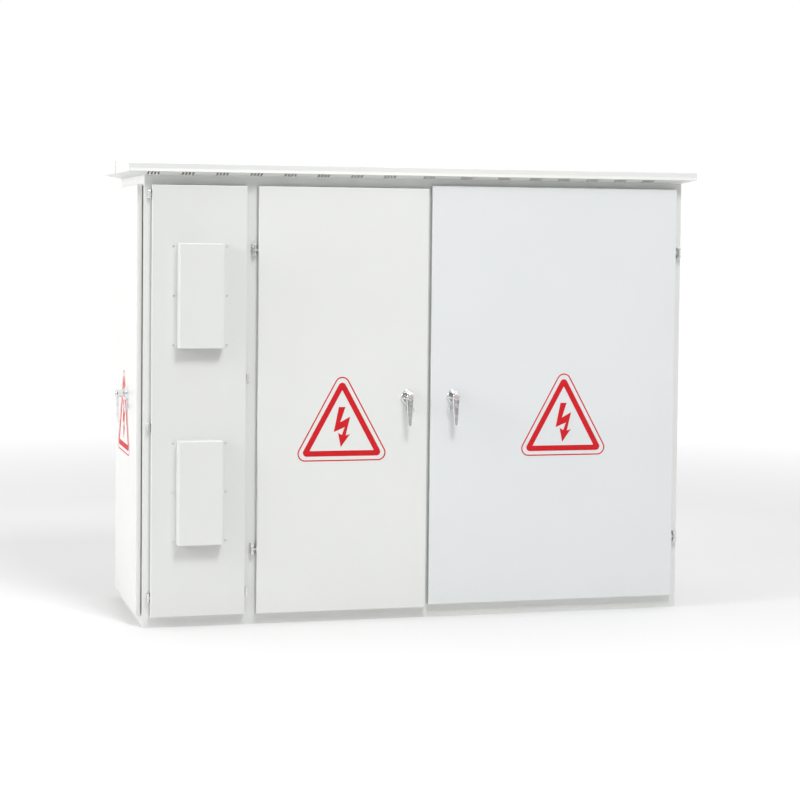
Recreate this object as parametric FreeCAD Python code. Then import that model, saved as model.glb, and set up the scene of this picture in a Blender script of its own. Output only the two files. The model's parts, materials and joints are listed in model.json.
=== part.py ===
"""Pad-mounted kiosk transformer in a sheet-steel cabinet.

Three bays stand side by side under one rain roof: a narrow high-voltage cable bay on the
left, a transformer bay in the middle and a wide low-voltage bay on the right.  The model is
drawn from the cabinet's front left bottom corner (X to the right, Y to the back, Z up) and
moved at the end so that the origin is the centre of the footprint, on the ground.
All sizes are in millimetres.
"""
import FreeCAD, Part
import math
import os
from FreeCAD import Vector

# ---------------------------------------------------------------- driving dimensions
# Cabinet
body_width = 2020.0
body_depth = 650.0
body_height = 1600.0
sheet = 2.0                      # thickness of panels, doors and roof

# Roof: it rises from the front fascia to the back
overhang_front = 50.0
overhang_left = 60.0
overhang_right = 41.0
overhang_back = 40.0
eave_rise = 12.0                 # the soffit climbs this much from the body to the fascia
fascia_height = 27.0
roof_fall = 36.0                 # back edge above front edge
drip_height = 10.0               # flared lower part of the front fascia
drip_flare = 3.0
soffit_sheet = 1.6
soffit_flange = 30.0
slot_runs = [(28.0, 122.0, 8), (1029.0, 142.0, 3), (1435.0, 110.0, 5)]   # first group, pitch, groups
slots_per_group = 4
slot_pitch = 12.0
slot_width = 5.5
slot_inset = 7.0                 # from each edge of the soffit

# Doors: overlay pans that stand proud of the front and of the left side
door_proud = 22.0
door_gap = 4.0                   # between a pan's folded edge and the cabinet
door_bend = 2.5
left_reveal = 25.0               # cabinet edge to narrow door
narrow_width = 337.0
mullion_reveal = 43.0            # narrow door to middle door
middle_width = 626.0
centre_reveal = 13.0             # middle door to right door
right_reveal = 26.0
door_bottom = 39.0
header_reveal = 34.0
right_door_lift = 9.0            # the right door starts higher than the others
right_header_reveal = 23.0
side_front_reveal = 31.0
side_back_reveal = 26.0

# Door openings in the cabinet faces
door_overlap = 16.0              # how far a door covers the face around its opening
rim_depth = 10.0
gasket_spread = 4.0
gasket_clear = 0.3
mullion_depth = 30.0
mullion_tube = 30.0

# Door stiffeners
hat_width = 40.0
hat_depth = 14.0
hat_sheet = 1.5
hat_end = 60.0

# Hinges
hinge_axis_out = 12.0            # pin axis in front of the cabinet face
pin_play = 0.05
big_hinge = dict(offset=15.0, knuckle=8.0, knuckle_tall=13.0, leaf_tall=6.5, gap=4.0,
                 eye=7.5, pin=4.0, pad=2.0, pad_tall=24.0, plate=3.0)
small_hinge = dict(offset=7.5, knuckle=4.5, knuckle_tall=10.0, leaf_tall=10.0, gap=0.6,
                   eye=4.5, pin=2.5, pad=1.5, pad_tall=30.0, plate=2.0)
pad_reach = 8.0                  # half depth of the pad fixed on the door's edge
big_hinge_top_in = 226.0         # below the doors' top edge
big_hinge_bottom = 271.0
small_hinge_top_in = 33.0
small_hinge_lower = (108.0, 711.0)

# Lever handles
handle_height = 812.0
middle_handle_in = 75.0          # from the free edge of the middle door
right_handle_in = 86.0
side_handle_in = 231.0           # from the front edge of the side door
rose_radius = 25.0
rose_thick = 9.0
neck_radius = 15.0
neck_thick = 5.0
lever_stand_off = 44.0           # lever's outer face from the door
lever_thick = 12.0
lever_root = 14.0
lever_tip = 7.5
lever_length = 98.5
lever_edge = 3.0
spindle_radius = 7.0
spindle_end = 5.0
plug_radius = 8.0
plug_depth = 12.0
plug_proud = 0.6
keyway = (1.8, 9.0, 4.0)
staple_drop = 47.0               # padlock staple below the lever's axis
staple_out = 22.0
staple_sheet = 3.0

# Rod lock on the inside of each handled door
cam_radius = 22.0
cam_thick = 4.0
cam_back = 0.0                   # the cam's inner face is level with the cabinet face
cam_pin_radius = 4.0
cam_pin_circle = 16.0
cam_pin_clear = 0.9
rod_radius = 5.0
rod_depth_in = 13.0              # rod axis behind the cabinet face
rod_plate_thick = 5.0
rod_plate_margin = 4.0
rod_tip_clear = 8.0              # withdrawn rod tip to the edge of the opening
rod_hole_play = 1.5
guide_play = 0.3
guide_wide = 20.0
guide_tall = 10.0
guide_near = 70.0
guide_far = 60.0

# Turn buttons that hold the narrow door
button_heights = (133.5, 893.5)  # of their pivots; each button's arm hangs from there
button_out = 5.0                 # axis beside the door's edge
button_long = 34.0
button_wide = 7.0
button_thick = 4.0
button_clear = 0.5
button_stud = 2.5
button_short = 0.5               # the stud ends this far inside the front plate

# Vent hoods on the narrow door
hood_width = 163.0
hood_height = 368.0
hood_depth = 40.0
hood_sheet = 1.5
hood_flange = 18.0
hood_taper = 3.0                 # each side leans in by this much
hood_bend = 3.0
hood_centre_in = 170.5           # from the narrow door's hinge edge
lower_hood_bottom = 298.0
upper_hood_top_in = 205.0        # below the narrow door's top edge
hood_screw_in = 4.5
screw_radius = 2.0
screw_head = 4.2
screw_head_tall = 2.6
screw_long = 12.0
louvre_count = 7
louvre_tall = 10.0
louvre_width = 120.0
louvre_pitch = 38.0

# Base and floor
angle_leg = 50.0
angle_thick = 4.0
cross_width = 40.0
anchor_hole = 7.0                # radius, for M12 anchors
anchor_in_x = 110.0
anchor_in_y = 32.0
access_hole = 18.0
hv_entry = (70.0, 310.0, 210.0, 440.0)        # x0, x1, y0, y1
lv_entry_in = (213.0, 170.0)                  # from the low-voltage partition and the right wall
lv_entry_y = (150.0, 400.0)

# Wall louvres
wall_louvre = (240.0, 8.0, 25.0, 7)           # width, height, pitch, count
wall_louvre_heights = (250.0, 1250.0)
wall_louvre_bays = (0.10, 0.35, 0.75)         # places along the back wall

# Transformer
tank_clear = 66.0                # tank wall to each partition
tank_depth = 320.0
tank_height = 590.0
tank_lift = 54.0                 # skids under the tank
tank_wall = 4.0
skid_width = 50.0
skid_in = 30.0
skid_over = 45.0
fin_count = 12
fin_deep = 60.0
fin_thick = 6.0
fin_margin = 70.0
lid_over = 20.0
lid_thick = 8.0
bushing_height = 600.0
hv_spacing = 120.0
lv_spacing = 90.0
hv_tip_reach = 150.0
hv_wall_hole = 45.0
lv_wall_hole = 35.0
elbow_radius = 30.0
elbow_drop = 220.0
core_limb = 60.0
core_deep = 80.0
core_pitch = 160.0
core_window = 290.0
winding_inner = 50.5
winding_outer = 77.0
winding_clear = 10.0             # under the upper yoke

# Low-voltage board
board_in = 85.0                  # board face in front of the back wall
board_sheet = 3.0
board_side = 82.0
board_bottom = 200.0
board_top_in = 100.0
main_size = (140.0, 90.0, 250.0)
main_in = 60.0                   # from the board's left edge
main_bottom = 760.0
feeder_size = (100.0, 75.0, 150.0)
feeder_first = 320.0
feeder_pitch = 150.0
feeder_bottom = 800.0
feeders = 3
toggle_tilt = 20.0
toggle_hub = 10.0
toggle_wide = 12.0
toggle_reach = 26.0
toggle_blade = 7.0
slot_side_play = 1.0
meter_size = (170.0, 70.0, 240.0)
meter_in = 340.0
meter_bottom = 420.0
phase_bar_heights = (1050.0, 1105.0, 1160.0, 1215.0)
earth_bar_height = 270.0
bar_tall = 30.0
bar_thick = 6.0
bar_behind = 34.0                # bar face in front of the board
drop_wide = 14.0
drop_thick = 4.0
drop_gap = 8.0
incoming_thick = 5.0             # bars from the bushings to the main breaker
palm_thick = 8.0
post_radius = 10.0

# ---------------------------------------------------------------- worked-out places
hv_partition_x = left_reveal + narrow_width + mullion_reveal / 2
middle_x0 = left_reveal + narrow_width + mullion_reveal
middle_x1 = middle_x0 + middle_width
lv_partition_x = middle_x1 + centre_reveal / 2
right_x0 = middle_x1 + centre_reveal
right_x1 = body_width - right_reveal
door_top = body_height - header_reveal
hood_bottoms = (lower_hood_bottom, door_top - upper_hood_top_in - hood_height)
big_hinge_heights = (big_hinge_bottom, door_top - big_hinge_top_in)
small_hinge_heights = small_hinge_lower + (door_top - small_hinge_top_in,)
floor_top = angle_leg + sheet

doors = {
    "narrow": dict(face="front", x0=left_reveal, x1=left_reveal + narrow_width, z0=door_bottom,
                   z1=door_top, hinge=small_hinge, hinge_side=-1,
                   hinge_heights=small_hinge_heights, hats=()),
    "middle": dict(face="front", x0=middle_x0, x1=middle_x1, z0=door_bottom, z1=door_top,
                   hinge=big_hinge, hinge_side=-1, hinge_heights=big_hinge_heights,
                   hats=(0.25, 0.6), handle_x=middle_x1 - middle_handle_in, swing=-1),
    "right": dict(face="front", x0=right_x0, x1=right_x1, z0=door_bottom + right_door_lift,
                  z1=body_height - right_header_reveal, hinge=big_hinge, hinge_side=1,
                  hinge_heights=big_hinge_heights,
                  hats=(0.3, 0.55, 0.8), handle_x=right_x0 + right_handle_in, swing=1),
    "side": dict(face="left", x0=side_back_reveal, x1=body_depth - side_front_reveal,
                 z0=door_bottom, z1=door_top, hinge=small_hinge, hinge_side=-1,
                 hinge_heights=small_hinge_heights, hats=(0.2, 0.85),
                 handle_x=body_depth - side_front_reveal - side_handle_in, swing=-1),
}

nodes = {}


# ---------------------------------------------------------------- helpers
def box(x0, x1, y0, y1, z0, z1):
    return Part.makeBox(x1 - x0, y1 - y0, z1 - z0, Vector(x0, y0, z0))


def bar_x(x0, x1, y, z, radius):
    return Part.makeCylinder(radius, x1 - x0, Vector(x0, y, z), Vector(1, 0, 0))


def bar_y(x, y0, y1, z, radius):
    return Part.makeCylinder(radius, y1 - y0, Vector(x, y0, z), Vector(0, 1, 0))


def bar_z(x, y, z0, z1, radius):
    return Part.makeCylinder(radius, z1 - z0, Vector(x, y, z0), Vector(0, 0, 1))


def joined(pieces):
    """One solid from touching pieces."""
    if len(pieces) == 1:
        return pieces[0]
    return pieces[0].multiFuse(pieces[1:]).removeSplitter()


def without(shape, cuts):
    for tool in cuts:
        shape = shape.cut(tool)
    return shape


def ring(x0, x1, y0, y1, z0, z1, wall):
    """A picture-frame ring whose hole is x0..x1 by z0..z1."""
    outer = box(x0 - wall, x1 + wall, y0, y1, z0 - wall, z1 + wall)
    return outer.cut(box(x0, x1, y0 - 1, y1 + 1, z0, z1))


def on_face(shape, face):
    """Bring a piece drawn for the front onto the left side, which faces -X."""
    if face == "front":
        return shape
    moved = shape.copy()
    moved.rotate(Vector(0, 0, 0), Vector(0, 0, 1), -90)
    moved.translate(Vector(0, body_depth, 0))
    return moved


def add(name, *shapes):
    nodes.setdefault(name, []).extend(shapes)


def edges_at_y(shape, y):
    found = []
    for edge in shape.Edges:
        if all(abs(vertex.Point.y - y) < 0.01 for vertex in edge.Vertexes):
            found.append(edge)
    return found


def opening(door):
    """The hole in the cabinet face behind a door: x0, x1, z0, z1."""
    return (door["x0"] + door_overlap, door["x1"] - door_overlap,
            door["z0"] + door_overlap, door["z1"] - door_overlap)


def hinge_axis_x(door):
    edge = door["x0"] if door["hinge_side"] < 0 else door["x1"]
    return edge + door["hinge_side"] * door["hinge"]["offset"]


# ---------------------------------------------------------------- cabinet
def make_base():
    x0, x1, y0, y1 = sheet, body_width - sheet, sheet, body_depth - sheet
    outer = box(x0, x1, y0, y1, 0, angle_leg)
    inner = box(x0 + angle_leg, x1 - angle_leg, y0 + angle_leg, y1 - angle_leg, -1, angle_leg + 1)
    upper = box(x0 + angle_thick, x1 - angle_thick, y0 + angle_thick, y1 - angle_thick,
                angle_thick, angle_leg + 1)
    frame = without(outer, [inner, upper])
    cross_places = [hv_partition_x, lv_partition_x]
    cross_places += [x for x, _ in skid_places()]
    bars = [box(x - cross_width / 2, x + cross_width / 2, y0 + angle_thick, y1 - angle_thick,
                0, angle_leg) for x in cross_places]
    frame = joined([frame] + bars)
    holes = [bar_z(x, y, -1, angle_thick + 1, anchor_hole) for x, y in anchor_places()]
    add("base_frame", without(frame, holes))


def anchor_places():
    return [(x, y) for x in (anchor_in_x, body_width - anchor_in_x)
            for y in (anchor_in_y, body_depth - anchor_in_y)]


def tank_span():
    return hv_partition_x + tank_clear, lv_partition_x - tank_clear


def skid_places():
    x0, x1 = tank_span()
    half = skid_width / 2
    return [(x0 + skid_in + half, half), (x1 - skid_in - half, half)]


def make_floor():
    plate = box(sheet, body_width - sheet, sheet, body_depth - sheet, angle_leg, floor_top)
    lv_x0, lv_x1 = lv_partition_x + lv_entry_in[0], body_width - lv_entry_in[1]
    cuts = [box(*hv_entry, angle_leg - 1, floor_top + 1),
            box(lv_x0, lv_x1, *lv_entry_y, angle_leg - 1, floor_top + 1)]
    cuts += [bar_z(x, y, angle_leg - 1, floor_top + 1, access_hole) for x, y in anchor_places()]
    for door in doors.values():
        if "handle_x" in door:
            rod_x = door["handle_x"] - door["swing"] * rod_offset()
            hole = bar_z(rod_x, rod_depth_in, angle_leg - 1, floor_top + 1,
                         rod_radius + rod_hole_play)
            cuts.append(on_face(hole, door["face"]))
    add("floor_plate", without(plate, cuts))


def rim_strips(x0, x1, z0, z1):
    """Four lips around an opening, which stand out from the cabinet's face into the door."""
    low, high = z0 - sheet, z1 + sheet
    return [box(x0 - sheet, x0, -rim_depth, 0, low, high),
            box(x1, x1 + sheet, -rim_depth, 0, low, high),
            box(x0, x1, -rim_depth, 0, low, z0),
            box(x0, x1, -rim_depth, 0, z1, high)]


def face_with_openings(left, right, names):
    """Stiles, sills and headers that butt together, with a lip around each opening."""
    pieces = []
    edge = left
    for name in names:
        x0, x1, z0, z1 = opening(doors[name])
        pieces += [box(edge, x0, 0, sheet, 0, body_height),
                   box(x0, x1, 0, sheet, 0, z0),
                   box(x0, x1, 0, sheet, z1, body_height)]
        pieces += rim_strips(x0, x1, z0, z1)
        edge = x1
    pieces.append(box(edge, right, 0, sheet, 0, body_height))
    return pieces


def make_front_frame():
    pieces = face_with_openings(0, body_width, ("narrow", "middle", "right"))
    for x in (hv_partition_x, lv_partition_x):
        tube = box(x - mullion_tube / 2, x + mullion_tube / 2, sheet, sheet + mullion_depth,
                   floor_top, body_height)
        hollow = box(x - mullion_tube / 2 + sheet, x + mullion_tube / 2 - sheet,
                     2 * sheet, mullion_depth, floor_top - 1, body_height + 1)
        pieces.append(tube.cut(hollow))
    studs = []
    button_x = doors["narrow"]["x1"] + button_out
    for height in button_heights:
        studs.append(bar_y(button_x, -1, sheet + 1, height, button_stud + pin_play))
    add("front_frame", *[without(piece, studs) for piece in pieces])


def make_left_frame():
    pieces = face_with_openings(sheet, body_depth - sheet, ("side",))
    add("left_frame", *[on_face(piece, "left") for piece in pieces])


def make_walls():
    width, tall, pitch, count = wall_louvre
    right = box(body_width - sheet, body_width, sheet, body_depth - sheet, 0, body_height)
    back = box(0, body_width, body_depth - sheet, body_depth, 0, body_height)
    middle = body_depth / 2
    for low in wall_louvre_heights:
        for row in range(count):
            z = low + row * pitch
            right = right.cut(box(body_width - sheet - 1, body_width + 1,
                                  middle - width / 2, middle + width / 2, z, z + tall))
            for share in wall_louvre_bays:
                x = share * body_width
                back = back.cut(box(x - width / 2, x + width / 2, body_depth - sheet - 1,
                                    body_depth + 1, z, z + tall))
    add("right_wall", right)
    add("back_wall", back)


def make_partitions():
    y0, y1 = sheet + mullion_depth, body_depth - sheet
    hv = box(hv_partition_x - sheet / 2, hv_partition_x + sheet / 2, y0, y1, floor_top, body_height)
    lv = box(lv_partition_x - sheet / 2, lv_partition_x + sheet / 2, y0, y1, floor_top, body_height)
    for y in bushing_rows(3, hv_spacing):
        hv = hv.cut(bar_x(hv_partition_x - 5, hv_partition_x + 5, y, bushing_height, hv_wall_hole))
    for y in bushing_rows(4, lv_spacing):
        lv = lv.cut(bar_x(lv_partition_x - 5, lv_partition_x + 5, y, bushing_height, lv_wall_hole))
    add("hv_partition", hv)
    add("lv_partition", lv)


def bushing_rows(count, spacing):
    middle = body_depth / 2
    return [middle + (i - (count - 1) / 2) * spacing for i in range(count)]


def roof_profile(inset):
    """Side view of the roof; the lower part of its front face flares out as a drip edge."""
    front = -overhang_front + inset
    back = body_depth + overhang_back - inset
    low = body_height + eave_rise
    top = low + fascia_height - inset
    points = [(front - drip_flare, low), (front, low + drip_height), (front, top),
              (back, top + roof_fall), (back, low)]
    return [Vector(0, y, z) for y, z in points]


def make_roof():
    x0, x1 = -overhang_left, body_width + overhang_right
    skins = []
    for inset, near, far in ((0.0, x0, x1), (sheet, x0 + sheet, x1 - sheet)):
        points = roof_profile(inset)
        profile = Part.Face(Part.makePolygon(points + points[:1]))
        solid = profile.extrude(Vector(far - near, 0, 0))
        solid.translate(Vector(near, 0, 0))
        skins.append(solid)
    add("roof_cap", skins[0].cut(skins[1]))


def make_soffit():
    low, high = body_height, body_height + eave_rise
    front = -overhang_front - drip_flare + sheet + 1.0
    rect_low = (0, body_width, 0, body_depth)
    rect_high = (-overhang_left + sheet, body_width + overhang_right - sheet,
                 front, body_depth + overhang_back - sheet)
    wires = []
    for (x0, x1, y0, y1), z in ((rect_low, low), (rect_high, high)):
        corners = [Vector(x0, y0, z), Vector(x1, y0, z), Vector(x1, y1, z), Vector(x0, y1, z)]
        wires.append(Part.makePolygon(corners + corners[:1]))
    funnel = Part.makeLoft(wires, True, True)
    above = funnel.copy()
    above.translate(Vector(0, 0, soffit_sheet))
    tray = funnel.cut(above)
    middle = box(soffit_flange, body_width - soffit_flange, soffit_flange,
                 body_depth - soffit_flange, low - 1, high + 1)
    slots = []
    for first, pitch, groups in slot_runs:
        for group in range(groups):
            for k in range(slots_per_group):
                x = first + group * pitch + (k - (slots_per_group - 1) / 2) * slot_pitch
                slots.append(box(x - slot_width / 2, x + slot_width / 2,
                                 front + slot_inset, -slot_inset, low - 1, high + 1))
    add("eave_soffit", tray.cut(middle).cut(Part.makeCompound(slots)))


# ---------------------------------------------------------------- doors
def rod_offset():
    """Sideways place of a rod, in the middle of its cam pin's arc."""
    inner = cam_pin_circle * math.cos(math.radians(45))
    return (inner + cam_pin_circle) / 2


def make_panel(name, door):
    x0, x1, z0, z1 = door["x0"], door["x1"], door["z0"], door["z1"]
    face_in = -door_proud + sheet
    outer = box(x0, x1, -door_proud, -door_gap, z0, z1)
    outer = outer.makeFillet(door_bend, edges_at_y(outer, -door_proud))
    pan = outer.cut(box(x0 + sheet, x1 - sheet, face_in, 0, z0 + sheet, z1 - sheet))
    pieces = [pan]
    for share in door["hats"]:
        x = x0 + share * (x1 - x0)
        hat = box(x - hat_width / 2, x + hat_width / 2, face_in, face_in + hat_depth,
                  z0 + hat_end, z1 - hat_end)
        hollow = box(x - hat_width / 2 + hat_sheet, x + hat_width / 2 - hat_sheet, face_in,
                     face_in + hat_depth - hat_sheet, z0 + hat_end - 1, z1 - hat_end + 1)
        pieces.append(hat.cut(hollow))
    cuts = []
    if "handle_x" in door:
        cuts.append(bar_y(door["handle_x"], -door_proud - 1, face_in + 1, handle_height,
                          spindle_radius + 1))
        for way in (1, -1):
            x = door["handle_x"] + way * door["swing"] * rod_offset()
            tip = rod_tip(door, way)
            for z in (handle_height + way * guide_near, tip - way * guide_far):
                pieces.append(box(x - guide_wide / 2, x + guide_wide / 2, face_in,
                                  rod_depth_in + rod_radius + 3, z - guide_tall / 2,
                                  z + guide_tall / 2))
                cuts.append(bar_z(x, rod_depth_in, z - guide_tall, z + guide_tall,
                                  rod_radius + guide_play))
    if name == "narrow":
        centre = x0 + hood_centre_in
        for low in hood_bottoms:
            for row in range(louvre_count):
                z = low + (hood_height - (louvre_count - 1) * louvre_pitch) / 2 + row * louvre_pitch
                cuts.append(box(centre - louvre_width / 2, centre + louvre_width / 2,
                                -door_proud - 1, face_in + 1, z - louvre_tall / 2,
                                z + louvre_tall / 2))
        for x, z in hood_screw_places():
            cuts.append(bar_y(x, -door_proud - 1, face_in + 1, z, screw_radius))
    add(name + "_door_panel", on_face(without(joined(pieces), cuts), door["face"]))


def make_gasket(door):
    x0, x1, z0, z1 = opening(door)
    back = -rim_depth
    front = -door_proud + sheet + gasket_clear
    inner = sheet
    outer_wall = 2 * sheet + gasket_spread
    seal = ring(x0 + inner, x1 - inner, front, back, z0 + inner, z1 - inner, outer_wall)
    add("door_gaskets", on_face(seal, door["face"]))


def make_hinges(name, door):
    """A frame block with two knuckles, a pin, and a leaf whose pad sits on the door's edge."""
    kind = door["hinge"]
    axis = hinge_axis_x(door)
    side = door["hinge_side"]
    edge = axis - side * kind["offset"]
    y = -hinge_axis_out
    for z in door["hinge_heights"]:
        inner = kind["leaf_tall"] / 2 + kind["gap"]
        reach = inner + kind["knuckle_tall"]
        block = [box(axis - kind["knuckle"], axis + kind["knuckle"], -kind["plate"], 0,
                     z - reach, z + reach)]
        for low in (z + inner, z - reach):
            high = low + kind["knuckle_tall"]
            web = kind["knuckle"] / 2
            block.append(box(axis - web, axis + web, y, -kind["plate"] / 2, low, high))
            knuckle = bar_z(axis, y, low, high, kind["knuckle"])
            end = high if low > z else low
            rim = [e for e in knuckle.Edges
                   if len(e.Vertexes) == 1 and abs(e.CenterOfMass.z - end) < 0.01]
            block.append(knuckle.makeFillet(kind["knuckle"] * 0.45, rim))
        bore = bar_z(axis, y, z - reach + 2, z + reach - 2, kind["pin"])
        add("hinge_blocks", on_face(joined(block).cut(bore), door["face"]))
        pin = bar_z(axis, y, z - reach + 2, z + reach - 2, kind["pin"])
        add("hinge_pins", on_face(pin, door["face"]))
        half = kind["leaf_tall"] / 2
        near, far = sorted((axis, edge))
        pad0, pad1 = sorted((edge, edge + side * kind["pad"]))
        leaf = [bar_z(axis, y, z - half, z + half, kind["eye"]),
                box(near, far, y - kind["eye"] * 0.4, y + kind["eye"] * 0.4, z - half, z + half),
                box(pad0, pad1, y - pad_reach, y + pad_reach - 2, z - kind["pad_tall"] / 2,
                    z + kind["pad_tall"] / 2)]
        hole = bar_z(axis, y, z - half - 1, z + half + 1, kind["pin"] + pin_play)
        add(name + "_hinge_leaves", on_face(joined(leaf).cut(hole), door["face"]))


# ---------------------------------------------------------------- handles and rod locks
def teardrop(x, z, radius, tip_radius, length):
    """Closed outline of two circles and their outer tangents, the small circle below."""
    lean = math.asin((radius - tip_radius) / length)
    cos, sin = math.cos(lean), math.sin(lean)
    top = [Vector(x + s * radius * cos, 0, z - radius * sin) for s in (1, -1)]
    low = [Vector(x + s * tip_radius * cos, 0, z - length - tip_radius * sin) for s in (1, -1)]
    edges = [Part.Arc(top[0], Vector(x, 0, z + radius), top[1]).toShape(),
             Part.makeLine(top[1], low[1]),
             Part.Arc(low[1], Vector(x, 0, z - length - tip_radius), low[0]).toShape(),
             Part.makeLine(low[0], top[0])]
    return Part.Face(Part.Wire(edges))


def make_handle(name, door):
    x, z, swing = door["handle_x"], handle_height, door["swing"]
    face = -door_proud
    rose_front = face - rose_thick
    neck_front = rose_front - neck_thick
    lever_front = face - lever_stand_off
    lever_back = lever_front + lever_thick

    rose = bar_y(x, rose_front, face, z, rose_radius)
    rose = rose.makeFillet(rose_thick * 0.35, [e for e in edges_at_y(rose, rose_front)])
    arm = box(x - 5, x + 5, face - staple_sheet, face, z - staple_drop - 5, z - rose_radius + 5)
    lug0, lug1 = sorted((x, x - swing * staple_out))
    lug = box(lug0, lug1, face - staple_sheet, face, z - staple_drop - 5, z - staple_drop + 5)
    eye_x = x - swing * (staple_out - staple_sheet / 2)
    ear0, ear1 = sorted((eye_x - staple_sheet / 2, eye_x + staple_sheet / 2))
    ear = box(ear0, ear1, face - 18, face, z - staple_drop - 7, z - staple_drop + 7)
    ear = ear.cut(bar_x(ear0 - 1, ear1 + 1, face - 11, z - staple_drop, 3.5))
    neck = bar_y(x, neck_front, rose_front, z, neck_radius)
    bore = bar_y(x, neck_front - 1, face + 1, z, spindle_radius + pin_play)
    add(name + "_rose", on_face(joined([rose, neck, arm, lug, ear]).cut(bore), door["face"]))

    blade = teardrop(x, z, lever_root, lever_tip, lever_length).extrude(Vector(0, lever_thick, 0))
    blade.translate(Vector(0, lever_front, 0))
    blade = blade.makeFillet(lever_edge, edges_at_y(blade, lever_front) + edges_at_y(blade, lever_back))
    boss = bar_y(x, lever_front + lever_edge, neck_front - 0.5, z, lever_root - 0.6)
    spindle = bar_y(x, lever_back, cam_back - cam_thick, z, spindle_radius)
    end = bar_y(x, lever_back, cam_back, z, spindle_end)
    keyhole = bar_y(x, lever_front - 1, lever_front + plug_depth, z, plug_radius + pin_play)
    add(name + "_lever", on_face(joined([blade, boss, spindle, end]).cut(keyhole), door["face"]))

    plug = bar_y(x, lever_front - plug_proud, lever_front + plug_depth - 0.5, z, plug_radius)
    wide, tall, deep = keyway
    key = box(x - wide / 2, x + wide / 2, lever_front - plug_proud - 1, lever_front + deep,
              z - tall / 2, z + tall / 2)
    add(name + "_lock_plug", on_face(plug.cut(key), door["face"]))

    cam = [bar_y(x, cam_back - cam_thick, cam_back, z, cam_radius)]
    offset = cam_pin_circle * math.sin(math.radians(45))
    for way in (1, -1):
        cam.append(bar_y(x + way * swing * offset, cam_back - cam_thick,
                         rod_depth_in + rod_plate_thick / 2 + 1, z - way * offset, cam_pin_radius))
    hole = bar_y(x, cam_back - cam_thick - 1, cam_back + 1, z, spindle_end)
    add(name + "_cam", on_face(joined(cam).cut(hole), door["face"]))


def rod_tip(door, way):
    """Height of a withdrawn rod's tip: way is 1 for the upper rod and -1 for the lower."""
    x0, x1, z0, z1 = opening(door)
    return z1 - rod_tip_clear if way > 0 else z0 + rod_tip_clear


def make_rods(name, door):
    offset = cam_pin_circle * math.sin(math.radians(45))
    slot_half = cam_pin_radius + cam_pin_clear
    reach0 = offset - slot_half
    reach1 = cam_pin_circle + slot_half
    for way, label in ((1, "_upper_rod"), (-1, "_lower_rod")):
        side = way * door["swing"]
        pin_z = handle_height - way * offset
        x_in, x_out = door["handle_x"] + side * reach0, door["handle_x"] + side * reach1
        low_x, high_x = min(x_in, x_out), max(x_in, x_out)
        y0, y1 = rod_depth_in - rod_plate_thick / 2, rod_depth_in + rod_plate_thick / 2
        half = slot_half + rod_plate_margin
        plate = box(low_x - rod_plate_margin, high_x + rod_plate_margin, y0, y1,
                    pin_z - half, pin_z + half)
        slot = box(low_x, high_x, y0 - 1, y1 + 1, pin_z - slot_half, pin_z + slot_half)
        rod_x = door["handle_x"] + side * rod_offset()
        start = pin_z + way * (slot_half + rod_plate_margin / 2)
        low_z, high_z = sorted((start, rod_tip(door, way)))
        rod = bar_z(rod_x, rod_depth_in, low_z, high_z, rod_radius)
        tip_z = rod_tip(door, way)
        rim = [e for e in rod.Edges if len(e.Vertexes) == 1 and abs(e.CenterOfMass.z - tip_z) < 0.01]
        rod = rod.makeFillet(rod_radius * 0.6, rim)
        add(name + label, on_face(joined([plate, rod]).cut(slot), door["face"]))


def make_buttons():
    """Turn buttons on the mullion; turned level, they lie across the narrow door's edge."""
    x = doors["narrow"]["x1"] + button_out
    back = -door_proud - button_clear
    reach = button_long - button_wide
    for height, name in zip(button_heights, ("lower_turn_button", "upper_turn_button")):
        body = [bar_y(x, back - button_thick, back, z, button_wide / 2)
                for z in (height, height - reach)]
        body.append(box(x - button_wide / 2, x + button_wide / 2, back - button_thick, back,
                        height - reach, height))
        body.append(bar_y(x, back - 1, sheet - button_short, height, button_stud))
        add(name, joined(body))


# ---------------------------------------------------------------- vent hoods
def hood_screw_places():
    centre = doors["narrow"]["x0"] + hood_centre_in
    out = hood_width / 2 + hood_flange - hood_screw_in
    return [(centre + s * out, low + z) for low in hood_bottoms for s in (-1, 1)
            for z in (10.0, hood_height / 2, hood_height - 10.0)]


def hood_block(x0, x1, back, front, z0, z1):
    """A block that narrows towards its front face."""
    wires = []
    for inset, y in ((0.0, back), (hood_taper, front)):
        corners = [Vector(x0 + inset, y, z0), Vector(x1 - inset, y, z0),
                   Vector(x1 - inset, y, z1), Vector(x0 + inset, y, z1)]
        wires.append(Part.makePolygon(corners + corners[:1]))
    return Part.makeLoft(wires, True, True)


def make_hoods():
    centre = doors["narrow"]["x0"] + hood_centre_in
    face = -door_proud
    for low, name in zip(hood_bottoms, ("lower_vent_hood", "upper_vent_hood")):
        x0, x1 = centre - hood_width / 2, centre + hood_width / 2
        top = low + hood_height
        shell = hood_block(x0, x1, face, face - hood_depth, low, top)
        front = [e for e in edges_at_y(shell, face - hood_depth)
                 if e.CenterOfMass.z > low + 1]
        shell = shell.makeFillet(hood_bend, front)
        hollow = hood_block(x0 + hood_sheet, x1 - hood_sheet, face,
                            face - hood_depth + hood_sheet, low - 1, top - hood_sheet)
        flanges = [box(x0 - hood_flange, x0 + hood_sheet, face - hood_sheet, face, low, top),
                   box(x1 - hood_sheet, x1 + hood_flange, face - hood_sheet, face, low, top)]
        hood = joined([shell.cut(hollow)] + flanges)
        for x, z in hood_screw_places():
            if low < z < top:
                hood = hood.cut(bar_y(x, face - hood_sheet - 1, face + 1, z, screw_radius))
        add(name, hood)
    seat = face - hood_sheet
    for x, z in hood_screw_places():
        head = bar_y(x, seat - screw_head_tall, seat, z, screw_head)
        head = head.makeFillet(screw_head_tall * 0.5, edges_at_y(head, seat - screw_head_tall))
        add("hood_screws", joined([head, bar_y(x, seat - 1, seat + screw_long, z, screw_radius)]))


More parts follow.
